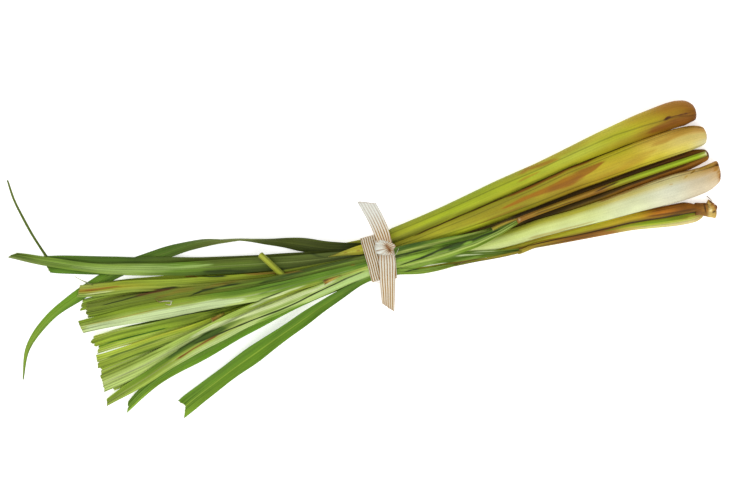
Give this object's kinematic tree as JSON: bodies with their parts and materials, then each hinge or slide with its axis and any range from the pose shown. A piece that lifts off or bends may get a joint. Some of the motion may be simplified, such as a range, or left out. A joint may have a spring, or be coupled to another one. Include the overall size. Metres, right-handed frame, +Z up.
{
  "type": "tied lemongrass bunch",
  "caption": "Bunch of cut lemongrass lying flat: thick pale-based leafy stalks tied round the middle with a woven ribbon, the trimmed leaf blades fanning out beyond it.",
  "frame": {"origin": "middle of the bunch's plan outline, on the surface it lies on", "axes": "+X along the bunch towards the thick stalk bases, +Y across it, +Z up from the surface"},
  "size_m": [0.5148, 0.1926, 0.0275],
  "materials": {
    "olive_sheath": "satin, ribbed lengthwise",
    "golden_sheath": "satin, ribbed lengthwise",
    "brown_sheath": "dry, matt",
    "pale_sheath": "smooth, satin",
    "dark_blade": "satin, veined lengthwise",
    "green_blade": "satin, veined lengthwise",
    "yellow_blade": "satin, veined lengthwise",
    "ribbon_weave": "coarse woven cloth"
  },
  "bodies": {
    "root": {"cut_stub": "yellow_blade", "leaf_back_dark": "dark_blade", "leaf_bright_fan": "green_blade", "leaf_collared_fan": "green_blade", "leaf_dark_fan": "dark_blade", "leaf_folded_fan": "green_blade", "leaf_lone_fan": "green_blade", "leaf_long_curl": "dark_blade", "leaf_long_light": "green_blade", "leaf_low_fan": "yellow_blade", "leaf_mid_fan": "green_blade", "leaf_narrow_fan": "yellow_blade", "leaf_olive_fan": "dark_blade", "leaf_pale_fan": "yellow_blade", "leaf_rust_edge": "yellow_blade", "leaf_short_fan": "yellow_blade", "leaf_split_fan": "yellow_blade", "leaf_yellow_top": "yellow_blade", "ribbon_tie": "ribbon_weave", "stalk_brown": "brown_sheath", "stalk_golden": "golden_sheath", "stalk_olive": "olive_sheath", "stalk_pale": "pale_sheath", "stalk_rooted": "golden_sheath"}
  },
  "joints": []
}
